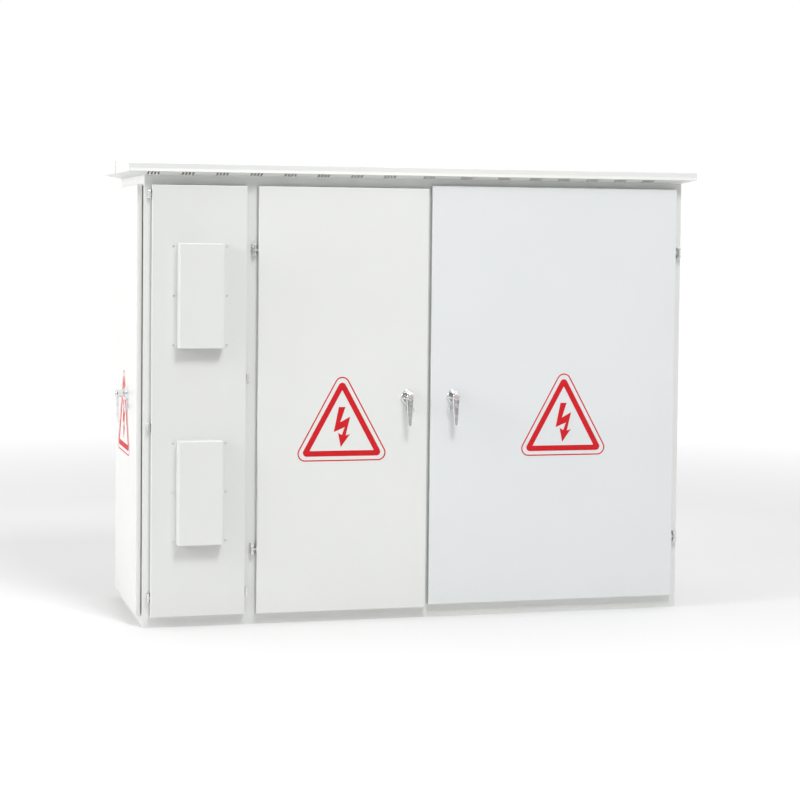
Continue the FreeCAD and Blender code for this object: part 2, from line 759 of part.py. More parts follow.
# ---------------------------------------------------------------- transformer
def make_transformer():
    x0, x1 = tank_span()
    y0, y1 = (body_depth - tank_depth) / 2, (body_depth + tank_depth) / 2
    z0 = floor_top + tank_lift
    z1 = z0 + tank_height
    shell = box(x0, x1, y0, y1, z0, z1)
    pieces = [shell]
    for x, half in skid_places():
        pieces.append(box(x - half, x + half, y0 - skid_over, y1 + skid_over, floor_top, z0))
    for i in range(fin_count):
        x = x0 + fin_thick + i * (x1 - x0 - 2 * fin_thick) / (fin_count - 1)
        for near, far in ((y0 - fin_deep, y0), (y1, y1 + fin_deep)):
            pieces.append(box(x - fin_thick / 2, x + fin_thick / 2, near, far,
                              z0 + fin_margin, z1 - fin_margin))
    hollow = box(x0 + tank_wall, x1 - tank_wall, y0 + tank_wall, y1 - tank_wall, z0 + tank_wall, z1 + 1)
    tank = joined(pieces).cut(hollow)
    hv_bushings = [hv_bushing(x0, y) for y in bushing_rows(3, hv_spacing)]
    lv_bushings = [lv_bushing(x1, y) for y in bushing_rows(4, lv_spacing)]
    tank = tank.cut(Part.makeCompound(hv_bushings + lv_bushings))
    add("tank", tank)
    add("tank_lid", box(x0 - lid_over, x1 + lid_over, y0 - lid_over, y1 + lid_over,
                        z1, z1 + lid_thick))
    add("hv_bushings", *hv_bushings)
    add("lv_bushings", *lv_bushings)
    for bushing, y in zip(hv_bushings, bushing_rows(3, hv_spacing)):
        tip = x0 - hv_tip_reach
        head = bar_x(tip - elbow_radius, tip + 2 * elbow_radius, y, bushing_height, elbow_radius)
        leg = Part.makeCone(elbow_radius * 0.6, elbow_radius * 0.9, elbow_drop,
                            Vector(tip, y, bushing_height - elbow_drop))
        add("hv_elbows", joined([head, leg]).cut(bushing))
    make_core((x0 + x1) / 2, z0 + tank_wall)


def hv_bushing(wall_x, y):
    inside = bar_x(wall_x - 1, wall_x + 40, y, bushing_height, 20)
    flange = bar_x(wall_x - 8, wall_x, y, bushing_height, 34)
    cone = Part.makeCone(26, 15, hv_tip_reach - 8, Vector(wall_x - 8, y, bushing_height), Vector(-1, 0, 0))
    return joined([inside, flange, cone])


def lv_bushing(wall_x, y):
    reach = tank_clear + 40
    pieces = [bar_x(wall_x - 30, wall_x + reach, y, bushing_height, 13),
              bar_x(wall_x, wall_x + 10, y, bushing_height, 24)]
    for i in range(3):
        pieces.append(bar_x(wall_x + 26 + i * 14, wall_x + 31 + i * 14, y, bushing_height, 20))
    pieces.append(box(wall_x + reach - 1, wall_x + reach + 42, y - palm_thick / 2,
                      y + palm_thick / 2, bushing_height - 16, bushing_height + 16))
    return joined(pieces)


def make_core(x, z0):
    limbs = [x - core_pitch, x, x + core_pitch]
    half = core_limb / 2
    y0, y1 = (body_depth - core_deep) / 2, (body_depth + core_deep) / 2
    low = z0 + core_limb
    stack = box(limbs[0] - half, limbs[2] + half, y0, y1, z0, low + core_window + core_limb)
    windows = [box(a + half, b - half, y0 - 1, y1 + 1, low, low + core_window)
               for a, b in zip(limbs, limbs[1:])]
    add("core", without(stack, windows))
    for limb in limbs:
        coil = bar_z(limb, body_depth / 2, low, low + core_window - winding_clear, winding_outer)
        bore = bar_z(limb, body_depth / 2, low, low + core_window, winding_inner)
        add("windings", coil.cut(bore))


# ---------------------------------------------------------------- low-voltage board
def board_face():
    return body_depth - sheet - board_in


def board_left():
    return lv_partition_x + board_side


def make_breaker(x0, z0, size):
    """A breaker body with a pocket in its front for the toggle; also the toggle itself."""
    width, deep, tall = size
    back = board_face()
    front = back - deep
    x, z = x0 + width / 2, z0 + tall / 2
    body = box(x0, x0 + width, front, back, z0, z0 + tall)
    body = body.makeFillet(3, edges_at_y(body, front))
    half = toggle_wide / 2 + slot_side_play
    pocket = box(x - half, x + half, front - 1, front + 2 * toggle_hub + 4, z - 22, z + 22)
    pivot_y = front + toggle_hub + 2
    hub = bar_x(x - toggle_wide / 2, x + toggle_wide / 2, pivot_y, z, toggle_hub)
    blade = box(x - toggle_wide / 2, x + toggle_wide / 2, pivot_y - toggle_hub - toggle_reach,
                pivot_y, z - toggle_blade / 2, z + toggle_blade / 2)
    blade = blade.makeFillet(2, edges_at_y(blade, pivot_y - toggle_hub - toggle_reach))
    blade.rotate(Vector(x, pivot_y, z), Vector(1, 0, 0), -toggle_tilt)
    return body.cut(pocket), joined([hub, blade])


def make_board():
    face = board_face()
    x0, x1 = board_left(), body_width - board_side
    z1 = body_height - board_top_in
    plate = box(x0, x1, face, face + board_sheet, board_bottom, z1)
    posts = []
    for x in (x0 + 40, x1 - 40):
        for z in (board_bottom + 40, z1 - 40):
            posts.append(bar_y(x, face + board_sheet / 2, body_depth - sheet, z, post_radius))
        for z in phase_bar_heights + (earth_bar_height,):
            posts.append(bar_y(x, face - bar_behind, face + board_sheet / 2, z, post_radius))
    add("mounting_plate", joined([plate] + posts))

    main_x = x0 + main_in
    body, toggle = make_breaker(main_x, main_bottom, main_size)
    add("main_breaker", body)
    add("main_toggle", toggle)
    feeder_x = [x0 + feeder_first + i * feeder_pitch for i in range(feeders)]
    for i, x in enumerate(feeder_x):
        body, toggle = make_breaker(x, feeder_bottom, feeder_size)
        add("feeder_breakers", body)
        add("feeder_toggle_%d" % (i + 1), toggle)

    meter_x = x0 + meter_in
    width, deep, tall = meter_size
    meter = box(meter_x, meter_x + width, face - deep, face, meter_bottom, meter_bottom + tall)
    meter = meter.makeFillet(6, edges_at_y(meter, face - deep))
    window = box(meter_x + 25, meter_x + width - 25, face - deep - 1, face - deep + 3,
                 meter_bottom + tall - 90, meter_bottom + tall - 30)
    add("energy_meter", meter.cut(window))

    bar_front = face - bar_behind - bar_thick
    strip_front = bar_front - drop_gap - drop_thick
    main_top = main_bottom + main_size[2]
    feeder_top = feeder_bottom + feeder_size[2]
    for i, z in enumerate(phase_bar_heights):
        add("busbars", box(x0 + 10, x1 - 10, bar_front, bar_front + bar_thick,
                           z - bar_tall / 2, z + bar_tall / 2))
        drops = [(main_x + pole_place(main_size[0], i), main_top)]
        drops += [(x + pole_place(feeder_size[0], i), feeder_top) for x in feeder_x]
        for x, foot in drops:
            left, right = x - drop_wide / 2, x + drop_wide / 2
            strip_back = strip_front + drop_thick
            add("busbars", box(left, right, strip_front, strip_back, foot, z + bar_tall / 2),
                box(left, right, strip_back, bar_front, z - bar_tall / 2, z + bar_tall / 2))
    add("busbars", box(x0 + 10, x1 - 10, bar_front, bar_front + bar_thick,
                       earth_bar_height - bar_tall / 2, earth_bar_height + bar_tall / 2))
    make_incoming(main_x)


def pole_place(width, i):
    poles = len(phase_bar_heights)
    return width * (i + 0.5) / poles


def make_incoming(main_x):
    """Four nested flat bars from the low-voltage bushings up into the main breaker."""
    start = tank_span()[1] + tank_clear + 50
    z0, z1 = bushing_height - 15, bushing_height + 15
    back = board_face() - main_size[1] / 2
    half = incoming_thick / 2
    for i, y in enumerate(bushing_rows(4, lv_spacing)):
        x = main_x + pole_place(main_size[0], 3 - i)
        near = y + palm_thick / 2
        add("busbars", box(start, x + half, near, near + incoming_thick, z0, z1),
            box(x - half, x + half, near + incoming_thick, back - half, z0, z1),
            box(x - drop_wide / 2, x + drop_wide / 2, back - half, back + half, z0, main_bottom))


# ---------------------------------------------------------------- build and write
def build():
    make_base()
    make_floor()
    make_front_frame()
    make_left_frame()
    make_walls()
    make_partitions()
    make_roof()
    make_soffit()
    for name, door in doors.items():
        make_panel(name, door)
        make_gasket(door)
        make_hinges(name, door)
        if "handle_x" in door:
            make_handle(name, door)
            make_rods(name, door)
    make_buttons()
    make_hoods()
    make_transformer()
    make_board()


def write():
    os.makedirs("parts", exist_ok=True)
    for name, shapes in nodes.items():
        solids = [solid for shape in shapes for solid in shape.Solids]
        node = solids[0] if len(solids) == 1 else Part.makeCompound(solids)
        node.translate(Vector(-body_width / 2, -body_depth / 2, 0))
        if not node.isValid():
            print("not valid:", name)
        node.exportStep(os.path.join("parts", name + ".step"))
        bounds = node.BoundBox
        print("%-22s %2d solids  x %7.1f %7.1f  y %7.1f %7.1f  z %7.1f %7.1f" % (
            name, len(solids), bounds.XMin, bounds.XMax, bounds.YMin, bounds.YMax,
            bounds.ZMin, bounds.ZMax))
    print(len(nodes), "nodes")


build()
write()
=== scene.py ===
"""Looks of the kiosk transformer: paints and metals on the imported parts, levers, signs, bolts
and trim as finer meshes, and the camera, floor and lights of the studio view."""
import json
import math

import bmesh
import bpy
from mathutils import Euler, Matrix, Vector

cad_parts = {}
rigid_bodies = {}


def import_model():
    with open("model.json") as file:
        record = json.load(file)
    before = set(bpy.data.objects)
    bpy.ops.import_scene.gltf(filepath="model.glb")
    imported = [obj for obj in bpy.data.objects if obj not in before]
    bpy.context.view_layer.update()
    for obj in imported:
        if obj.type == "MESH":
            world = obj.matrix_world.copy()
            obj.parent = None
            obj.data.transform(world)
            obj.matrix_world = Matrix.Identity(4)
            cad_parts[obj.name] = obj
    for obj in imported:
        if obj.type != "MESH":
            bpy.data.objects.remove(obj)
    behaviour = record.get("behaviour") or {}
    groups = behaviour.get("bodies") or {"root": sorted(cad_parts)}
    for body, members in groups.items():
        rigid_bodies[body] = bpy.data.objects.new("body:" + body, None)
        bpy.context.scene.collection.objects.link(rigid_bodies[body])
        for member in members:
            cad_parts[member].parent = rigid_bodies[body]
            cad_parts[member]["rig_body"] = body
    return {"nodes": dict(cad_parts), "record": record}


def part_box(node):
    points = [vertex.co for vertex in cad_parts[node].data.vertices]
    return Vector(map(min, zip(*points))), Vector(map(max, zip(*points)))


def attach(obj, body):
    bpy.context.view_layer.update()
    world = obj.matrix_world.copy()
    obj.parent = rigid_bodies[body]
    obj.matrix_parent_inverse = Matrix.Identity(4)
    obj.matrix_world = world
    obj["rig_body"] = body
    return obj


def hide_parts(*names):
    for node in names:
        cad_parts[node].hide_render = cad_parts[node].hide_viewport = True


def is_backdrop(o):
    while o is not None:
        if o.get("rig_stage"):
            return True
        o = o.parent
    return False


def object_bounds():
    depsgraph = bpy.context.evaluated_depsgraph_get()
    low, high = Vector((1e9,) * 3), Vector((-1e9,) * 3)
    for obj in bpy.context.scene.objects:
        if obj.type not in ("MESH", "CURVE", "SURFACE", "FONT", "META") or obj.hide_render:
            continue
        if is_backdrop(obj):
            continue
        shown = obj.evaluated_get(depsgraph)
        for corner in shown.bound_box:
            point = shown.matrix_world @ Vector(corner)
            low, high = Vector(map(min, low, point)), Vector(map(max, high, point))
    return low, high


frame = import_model()
cad_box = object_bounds()
nodes = frame["nodes"]
MM = 0.001


# ---------------------------------------------------------------- material building
class Finish:
    """One procedural material: a Principled shader and the nodes that feed it."""

    def __init__(self, name, roughness, metallic=0.0, coat=0.0, specular=0.5):
        self.material = bpy.data.materials.new(name)
        self.material.use_nodes = True
        self.tree = self.material.node_tree
        self.shader = self.tree.nodes["Principled BSDF"]
        self.shader.inputs["Roughness"].default_value = roughness
        self.shader.inputs["Metallic"].default_value = metallic
        self.shader.inputs["Coat Weight"].default_value = coat
        self.shader.inputs["Specular IOR Level"].default_value = specular
        self.place = self.node("ShaderNodeTexCoord").outputs["Object"]

    def node(self, kind, **settings):
        made = self.tree.nodes.new(kind)
        for key, value in settings.items():
            setattr(made, key, value)
        return made

    def link(self, source, target):
        self.tree.links.new(source, target)

    def stretched(self, scale):
        mapping = self.node("ShaderNodeMapping")
        mapping.inputs["Scale"].default_value = scale
        self.link(self.place, mapping.inputs["Vector"])
        return mapping.outputs["Vector"]

    def noise(self, scale, detail=3.0, roughness=0.5, stretch=None):
        made = self.node("ShaderNodeTexNoise")
        made.inputs["Scale"].default_value = scale
        made.inputs["Detail"].default_value = detail
        made.inputs["Roughness"].default_value = roughness
        source = self.stretched(stretch) if stretch else self.place
        self.link(source, made.inputs["Vector"])
        return made.outputs["Fac"]

    def spangle(self, scale):
        made = self.node("ShaderNodeTexVoronoi")
        made.inputs["Scale"].default_value = scale
        self.link(self.place, made.inputs["Vector"])
        grey = self.node("ShaderNodeRGBToBW")
        self.link(made.outputs["Color"], grey.inputs["Color"])
        return grey.outputs["Val"]

    def bands(self, scale, direction="Z", distortion=0.0):
        made = self.node("ShaderNodeTexWave", bands_direction=direction)
        made.inputs["Scale"].default_value = scale
        made.inputs["Distortion"].default_value = distortion
        self.link(self.place, made.inputs["Vector"])
        return made.outputs["Fac"]

    def spread(self, source, low, high, into_low=0.35, into_high=0.65):
        made = self.node("ShaderNodeMapRange")
        made.inputs["From Min"].default_value = into_low
        made.inputs["From Max"].default_value = into_high
        made.inputs["To Min"].default_value = low
        made.inputs["To Max"].default_value = high
        self.link(source, made.inputs["Value"])
        return made.outputs["Result"]

    def mix(self, factor, first, second):
        made = self.node("ShaderNodeMix", data_type="RGBA")
        self.link(factor, made.inputs["Factor"])
        for socket, value in ((made.inputs[6], first), (made.inputs[7], second)):
            if isinstance(value, tuple):
                socket.default_value = value + (1.0,)
            else:
                self.link(value, socket)
        return made.outputs[2]

    def colour(self, source):
        self.link(source, self.shader.inputs["Base Color"])

    def roughness(self, source, low, high):
        self.link(self.spread(source, low, high), self.shader.inputs["Roughness"])

    def bump(self, source, strength, distance):
        made = self.node("ShaderNodeBump")
        made.inputs["Strength"].default_value = strength
        made.inputs["Distance"].default_value = distance
        self.link(source, made.inputs["Height"])
        previous = self.shader.inputs["Normal"].links
        if previous:
            self.link(previous[0].from_socket, made.inputs["Normal"])
        self.link(made.outputs["Normal"], self.shader.inputs["Normal"])

    def height_mask(self, low, high):
        """1 at or below the height low, falling to 0 at high."""
        parts = self.node("ShaderNodeSeparateXYZ")
        self.link(self.place, parts.inputs["Vector"])
        return self.spread(parts.outputs["Z"], 1.0, 0.0, low, high)

    def product(self, first, second):
        made = self.node("ShaderNodeMath", operation="MULTIPLY")
        self.link(first, made.inputs[0])
        self.link(second, made.inputs[1])
        return made.outputs["Value"]


def shade(colour, factor):
    return tuple(channel * factor for channel in colour)


def powder_coat(name, colour, dust=0.5):
    """Baked powder coat: orange peel, a faint slow waviness of the sheet, dust near the ground."""
    made = Finish(name, roughness=0.38, coat=0.15)
    cloud = made.spread(made.noise(1.6, 4.0), 0.0, 1.0)
    base = made.mix(cloud, colour, shade(colour, 0.975))
    low_down = made.height_mask(0.03, 0.16)
    speckle = made.spread(made.noise(55.0, 5.0, 0.7), 0.0, dust)
    made.colour(made.mix(made.product(low_down, speckle), base, (0.55, 0.52, 0.46)))
    made.roughness(made.noise(9.0, 4.0), 0.33, 0.45)
    made.bump(made.noise(2.2, 1.0), 0.06, 0.02)
    made.bump(made.noise(420.0, 2.0), 0.05, 0.0006)
    return made.material


def plated(name, colour, low, high, scale=160.0, stretch=(1.0, 1.0, 14.0)):
    """Bright metal with fine drawn lines and a slight tarnish."""
    made = Finish(name, roughness=low, metallic=1.0)
    lines = made.noise(scale, 3.0, 0.6, stretch)
    tarnish = made.spread(made.noise(24.0, 4.0), 0.0, 1.0)
    made.colour(made.mix(tarnish, colour, shade(colour, 0.82)))
    made.roughness(lines, low, high)
    made.bump(lines, 0.06, 0.0003)
    return made.material


def galvanised(name, colour):
    """Hot-dip zinc: crystal spangle in tone and gloss."""
    made = Finish(name, roughness=0.4, metallic=0.85)
    crystals = made.spangle(70.0)
    cloud = made.spread(made.noise(5.0, 4.0), 0.0, 1.0)
    tone = made.mix(made.spread(crystals, 0.0, 1.0, 0.0, 1.0), colour, shade(colour, 0.78))
    made.colour(made.mix(cloud, tone, shade(colour, 0.88)))
    made.roughness(crystals, 0.3, 0.5)
    made.bump(made.noise(260.0), 0.08, 0.0004)
    return made.material


def moulded(name, colour, low=0.4, high=0.55, grain=650.0, coat=0.0):
    """Moulded plastic or rubber with a fine spark-eroded grain."""
    made = Finish(name, roughness=low, coat=coat)
    cloud = made.spread(made.noise(18.0, 3.0), 0.0, 1.0)
    made.colour(made.mix(cloud, colour, shade(colour, 0.88)))
    texture = made.noise(grain, 2.0)
    made.roughness(texture, low, high)
    made.bump(texture, 0.12, 0.0003)
    return made.material


def glazed(name, colour):
    """Brown glaze that thins to a lighter tone and pools darker."""
    made = Finish(name, roughness=0.12, coat=0.7)
    pools = made.spread(made.noise(35.0, 3.0), 0.0, 1.0)
    made.colour(made.mix(pools, colour, shade(colour, 0.6)))
    made.bump(made.noise(90.0), 0.05, 0.0006)
    return made.material


def layered(name, colour, direction, scale, metallic, low, high):
    """Stacked sheets or wound wire: fine bands across the part."""
    made = Finish(name, roughness=low, metallic=metallic)
    lines = made.bands(scale, direction, 0.4)
    made.colour(made.mix(lines, colour, shade(colour, 0.6)))
    made.roughness(made.noise(40.0), low, high)
    made.bump(lines, 0.3, 0.0006)
    return made.material


def copper_bar(name):
    """Bare copper, bright with brown oxide clouds."""
    made = Finish(name, roughness=0.28, metallic=1.0)
    oxide = made.spread(made.noise(30.0, 5.0, 0.6), 0.0, 0.8)
    made.colour(made.mix(oxide, (0.86, 0.44, 0.28), (0.48, 0.22, 0.13)))
    made.roughness(made.noise(120.0, 3.0, 0.6, (12.0, 1.0, 1.0)), 0.22, 0.42)
    made.bump(made.noise(300.0), 0.05, 0.0003)
    return made.material


def sign_vinyl(name, colour):
    """Printed vinyl film: slightly glossy, with a faint mottled ink."""
    made = Finish(name, roughness=0.5, specular=0.2)
    ink = made.spread(made.noise(60.0, 4.0, 0.7), 0.0, 1.0)
    made.colour(made.mix(ink, colour, shade(colour, 0.85)))
    made.roughness(made.noise(25.0), 0.44, 0.58)
    made.bump(made.noise(380.0), 0.04, 0.0002)
    return made.material


def clear_cover(name):
    """Smoked clear cover of the meter's display."""
    made = Finish(name, roughness=0.05, coat=0.6)
    cloud = made.spread(made.noise(20.0), 0.0, 1.0)
    made.colour(made.mix(cloud, (0.05, 0.09, 0.07), (0.03, 0.06, 0.05)))
    made.roughness(made.noise(30.0), 0.04, 0.1)
    return made.material


finishes = {
    "cabinet_paint": powder_coat("cabinet_paint", (0.78, 0.79, 0.77), 0.08),
    "base_paint": powder_coat("base_paint", (0.10, 0.105, 0.11), 0.9),
    "zinc_sheet": galvanised("zinc_sheet", (0.66, 0.68, 0.70)),
    "plated_steel": plated("plated_steel", (0.86, 0.86, 0.85), 0.2, 0.36),
    "chrome_casting": plated("chrome_casting", (0.94, 0.94, 0.955), 0.08, 0.18, 60.0, (1, 1, 2)),
    "lock_brass": plated("lock_brass", (0.74, 0.62, 0.58), 0.28, 0.42),
    "seal_rubber": moulded("seal_rubber", (0.018, 0.018, 0.019), 0.55, 0.75),
    "tank_paint": powder_coat("tank_paint", (0.22, 0.27, 0.25), 0.8),
    "glazed_insulator": glazed("glazed_insulator", (0.22, 0.065, 0.03)),
    "core_steel": layered("core_steel", (0.34, 0.35, 0.38), "Y", 180.0, 1.0, 0.35, 0.5),
    "winding_enamel": layered("winding_enamel", (0.60, 0.25, 0.10), "Z", 60.0, 0.6, 0.25, 0.4),
    "breaker_plastic": moulded("breaker_plastic", (0.035, 0.037, 0.04)),
    "toggle_plastic": moulded("toggle_plastic", (0.55, 0.02, 0.015), 0.25, 0.38, 500.0, 0.2),
    "meter_plastic": moulded("meter_plastic", (0.72, 0.72, 0.69), 0.35, 0.5),
    "copper": copper_bar("copper"),
}
sign_red = sign_vinyl("sign_red", (0.66, 0.012, 0.02))
display_cover = clear_cover("display_cover")
paint_by_body = {
    "right_door": powder_coat("right_door_paint", (0.755, 0.775, 0.78), 0.08),
    "narrow_door": powder_coat("narrow_door_paint", (0.75, 0.76, 0.74), 0.08),
}


def dress_cad_nodes():
    for part in frame["record"]["subparts"]:
        obj = nodes[part["node"]]
        chosen = finishes[part["material_slot"]]
        if part["material_slot"] == "cabinet_paint":
            chosen = paint_by_body.get(obj["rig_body"], chosen)
        obj.data.materials.clear()
        obj.data.materials.append(chosen)


# ---------------------------------------------------------------- mesh building
def piece(name, verts, faces, body, slot, material=None, crease=35.0):
    data = bpy.data.meshes.new(name)
    data.from_pydata([tuple(v) for v in verts], [], faces)
    shape = bmesh.new()
    shape.from_mesh(data)
    bmesh.ops.remove_doubles(shape, verts=shape.verts, dist=1e-7)
    bmesh.ops.recalc_face_normals(shape, faces=shape.faces)
    shape.to_mesh(data)
    shape.free()
    data.shade_smooth()
    data.set_sharp_from_angle(angle=math.radians(crease))
    obj = bpy.data.objects.new(name, data)
    bpy.context.scene.collection.objects.link(obj)
    data.materials.append(material or finishes[slot])
    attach(obj, body)
    return obj


def extrude(outline, near, far):
    """Vertices and faces of a prism; near and far turn an outline's point into a place."""
    count = len(outline)
    verts = [near(p) for p in outline] + [far(p) for p in outline]
    sides = [(i, (i + 1) % count, count + (i + 1) % count, count + i) for i in range(count)]
    return verts, sides + [tuple(range(count))[::-1], tuple(range(count, 2 * count))]


def tube_ring(outer, inner, near, far):
    """A flat ring between two outlines with the same number of points."""
    count = len(outer)
    verts = []
    for outline in (outer, inner):
        verts += [near(p) for p in outline] + [far(p) for p in outline]
    faces = []
    for i in range(count):
        j = (i + 1) % count
        faces.append((i, j, count + j, count + i))
        faces.append((2 * count + i, 3 * count + i, 3 * count + j, 2 * count + j))
        faces.append((i, 2 * count + i, 2 * count + j, j))
        faces.append((count + i, count + j, 3 * count + j, 3 * count + i))
    return verts, faces


def lathe(profile, place, steps=48):
    """Turned solid: profile is (radius, height) pairs, place(u, v, h) gives the point."""
    verts, faces = [], []
    for radius, height in profile:
        for k in range(steps):
            angle = 2 * math.pi * k / steps
            verts.append(place(radius * math.cos(angle), radius * math.sin(angle), height))
    for row in range(len(profile) - 1):
        for k in range(steps):
            j = (k + 1) % steps
            faces.append((row * steps + k, row * steps + j, (row + 1) * steps + j, (row + 1) * steps + k))
    faces.append(tuple(range(steps))[::-1])
    last = (len(profile) - 1) * steps
    faces.append(tuple(range(last, last + steps)))
    return verts, faces


def merged(parts):
    verts, faces = [], []
    for more_verts, more_faces in parts:
        start = len(verts)
        verts += more_verts
        faces += [tuple(start + i for i in face) for face in more_faces]
    return verts, faces


def outward(face, origin):
    """A map (right, up, out) in millimetres from a point on a door's face, seen from outside."""
    if face == "front":
        return lambda u, w, out: Vector((origin[0] + u * MM, origin[1] - out * MM, origin[2] + w * MM))
    return lambda u, w, out: Vector((origin[0] - out * MM, origin[1] - u * MM, origin[2] + w * MM))


def door_face(name):
    """Body, way it faces, and a point at the middle of the door's outer face, at ground level."""
    low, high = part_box(name + "_door_panel")
    if name == "side":
        return name + "_door", "left", (low.x, (low.y + high.y) / 2, 0.0)
    return name + "_door", "front", ((low.x + high.x) / 2, low.y, 0.0)


# ---------------------------------------------------------------- warning signs
SIGN_WIDTH, SIGN_HEIGHT, SIGN_CORNER = 326.0, 304.0, 28.0
LINE_WIDTH = 4.5
BAND_GAP = 17.5                   # outer line's edge to the thick band
BAND_WIDTH = 20.0
BAND_CORNER = 14.0
FILM = 0.35
BOLT = [(-12, 195), (12, 195), (-6, 140), (30, 160), (14, 92), (30, 97),
        (-4, 50), (-14, 102), (0, 94), (10, 122), (-30, 105)]
sign_places = {"middle": (-5.0, 582.0), "right": (37.0, 587.0), "side": (-44.0, 585.0)}


def rounded_triangle(centres, radius, steps=14):
    """Outline of a triangle of corner centres grown by a radius."""
    outline = []
    for index, (cx, cy) in enumerate(centres):
        start = -90.0 + 120.0 * (index - 1)
        for k in range(steps + 1):
            angle = math.radians(start + 120.0 * k / steps)
            outline.append((cx + radius * math.cos(angle), cy + radius * math.sin(angle)))
    return outline


def shrunk(centres, distance):
    """The same triangle with each side moved in by a distance."""
    sides = [math.dist(centres[(i + 1) % 3], centres[(i + 2) % 3]) for i in range(3)]
    around = sum(sides)
    middle = [sum(s * c[axis] for s, c in zip(sides, centres)) / around for axis in (0, 1)]
    (ax, ay), (bx, by), (cx, cy) = centres
    inner_radius = abs((bx - ax) * (cy - ay) - (cx - ax) * (by - ay)) / around
    keep = (inner_radius - distance) / inner_radius
    return [tuple(m + keep * (c[axis] - m) for axis, m in enumerate(middle)) for c in centres]


def make_signs():
    half = SIGN_WIDTH / 2 - SIGN_CORNER
    corners = [(-half, SIGN_CORNER), (half, SIGN_CORNER), (0.0, SIGN_HEIGHT - SIGN_CORNER)]
    band = shrunk(corners, BAND_GAP + BAND_CORNER - SIGN_CORNER)
    hole = shrunk(band, BAND_WIDTH - BAND_CORNER + 1.5)
    line = [rounded_triangle(corners, SIGN_CORNER), rounded_triangle(corners, SIGN_CORNER - LINE_WIDTH)]
    thick = [rounded_triangle(band, BAND_CORNER), rounded_triangle(hole, 1.5)]
    for name, (shift, base) in sign_places.items():
        body, face, origin = door_face(name)
        place = outward(face, origin)

        def near(p):
            return place(p[0] + shift, p[1] + base, 0.0)

        def far(p):
            return place(p[0] + shift, p[1] + base, FILM)

        for label, (outer, inner) in (("outer_line", line), ("band", thick)):
            verts, faces = tube_ring(outer, inner, near, far)
            piece(name + "_sign_" + label, verts, faces, body, "cabinet_paint", sign_red)
        verts, faces = extrude(BOLT, near, far)
        piece(name + "_sign_bolt", verts, faces, body, "cabinet_paint", sign_red)


# ---------------------------------------------------------------- lever handles
LEVER_FRONT = 44.0
LEVER_LENGTH = 98.5
HEAD_RADIUS = 14.0
TIP_RADIUS = 7.5
HEAD_THICK, TIP_THICK = 12.0, 8.0
NECK_OUT = 14.0                   # the neck's front, where the lever's boss starts
SPINDLE_RADIUS = 7.0
CAM_OUT = -18.0                   # where the spindle meets the cam
CAM_INNER = -22.0
BLADE_SLOPE = 2.5                 # how far the blade's front falls back at its tip
END_ROUND = 4.0                   # length over which the blade's depth swells from each end
END_DEPTH = 0.55                  # share of the depth at the very end
SECTION_POWER = 0.62              # below 1 the section is squarer than an ellipse


def lever_half_width(along):
    """Half width of the blade a given distance below its axis."""
    if along < 0:
        return math.sqrt(max(HEAD_RADIUS ** 2 - along ** 2, 0.0))
    past_tip = along - LEVER_LENGTH
    if past_tip > 0:
        return math.sqrt(max(TIP_RADIUS ** 2 - past_tip ** 2, 0.0))
    share = along / LEVER_LENGTH
    return HEAD_RADIUS + (TIP_RADIUS - HEAD_RADIUS) * share


def lever_blade(place):
    """Crowned blade: rounded sections lofted from above the head to below the tip."""
    rows, around = 44, 28
    verts, faces = [], []
    total = HEAD_RADIUS + LEVER_LENGTH + TIP_RADIUS
    for row in range(rows + 1):
        ease = 0.5 - 0.5 * math.cos(math.pi * row / rows)
        along = -HEAD_RADIUS + total * ease
        half = lever_half_width(along)
        share = min(max(along / LEVER_LENGTH, 0.0), 1.0)
        thick = HEAD_THICK + (TIP_THICK - HEAD_THICK) * share
        end = min(along + HEAD_RADIUS, total - along)
        round_off = min(1.0, math.sqrt(max(end, 0.0) / END_ROUND))
        depth = thick / 2 * (END_DEPTH + (1.0 - END_DEPTH) * round_off)
        middle = LEVER_FRONT - BLADE_SLOPE * share - thick / 2
        for k in range(around):
            angle = 2 * math.pi * k / around
            cos, sin = math.cos(angle), math.sin(angle)
            u = half * math.copysign(abs(cos) ** SECTION_POWER, cos)
            out = middle + depth * math.copysign(abs(sin) ** SECTION_POWER, sin)
            verts.append(place(u, -along, out))
    for row in range(rows):
        for k in range(around):
            j = (k + 1) % around
            here, above = row * around, (row + 1) * around
            faces.append((here + k, here + j, above + j, above + k))
    faces.append(tuple(range(around))[::-1])
    faces.append(tuple(range(rows * around, (rows + 1) * around)))
    return verts, faces


def make_levers():
    for name in ("middle", "right", "side"):
        _, face, origin = door_face(name)
        low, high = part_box(name + "_lock_plug")
        centre = (low + high) / 2
        at = (centre.x, origin[1], centre.z) if face == "front" else (origin[0], centre.y, centre.z)
        place = outward(face, at)
        back = LEVER_FRONT - HEAD_THICK
        boss = lathe([(12.4, NECK_OUT + 0.5), (13.4, NECK_OUT + 1.5), (13.4, back + 3)], place)
        spindle = lathe([(SPINDLE_RADIUS, back + 3), (SPINDLE_RADIUS, CAM_OUT), (5.0, CAM_OUT),
                         (5.0, CAM_INNER + 0.6), (4.4, CAM_INNER)], place, 32)
        verts, faces = merged([lever_blade(place), boss, spindle])
        lever = piece(name + "_lever_casting", verts, faces, name + "_lever", "chrome_casting", crease=50.0)
        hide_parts(name + "_lever")
        collar = [(8.2, LEVER_FRONT - 1.5), (8.2, LEVER_FRONT + 0.9), (9.0, LEVER_FRONT + 1.3),
                  (10.4, LEVER_FRONT + 0.9), (11.0, LEVER_FRONT - 0.1), (11.0, LEVER_FRONT - 1.5)]
        verts, faces = lathe(collar + collar[:1], place)
        piece(name + "_lever_collar", verts, faces[:-2], name + "_lever", "chrome_casting", crease=60.0)


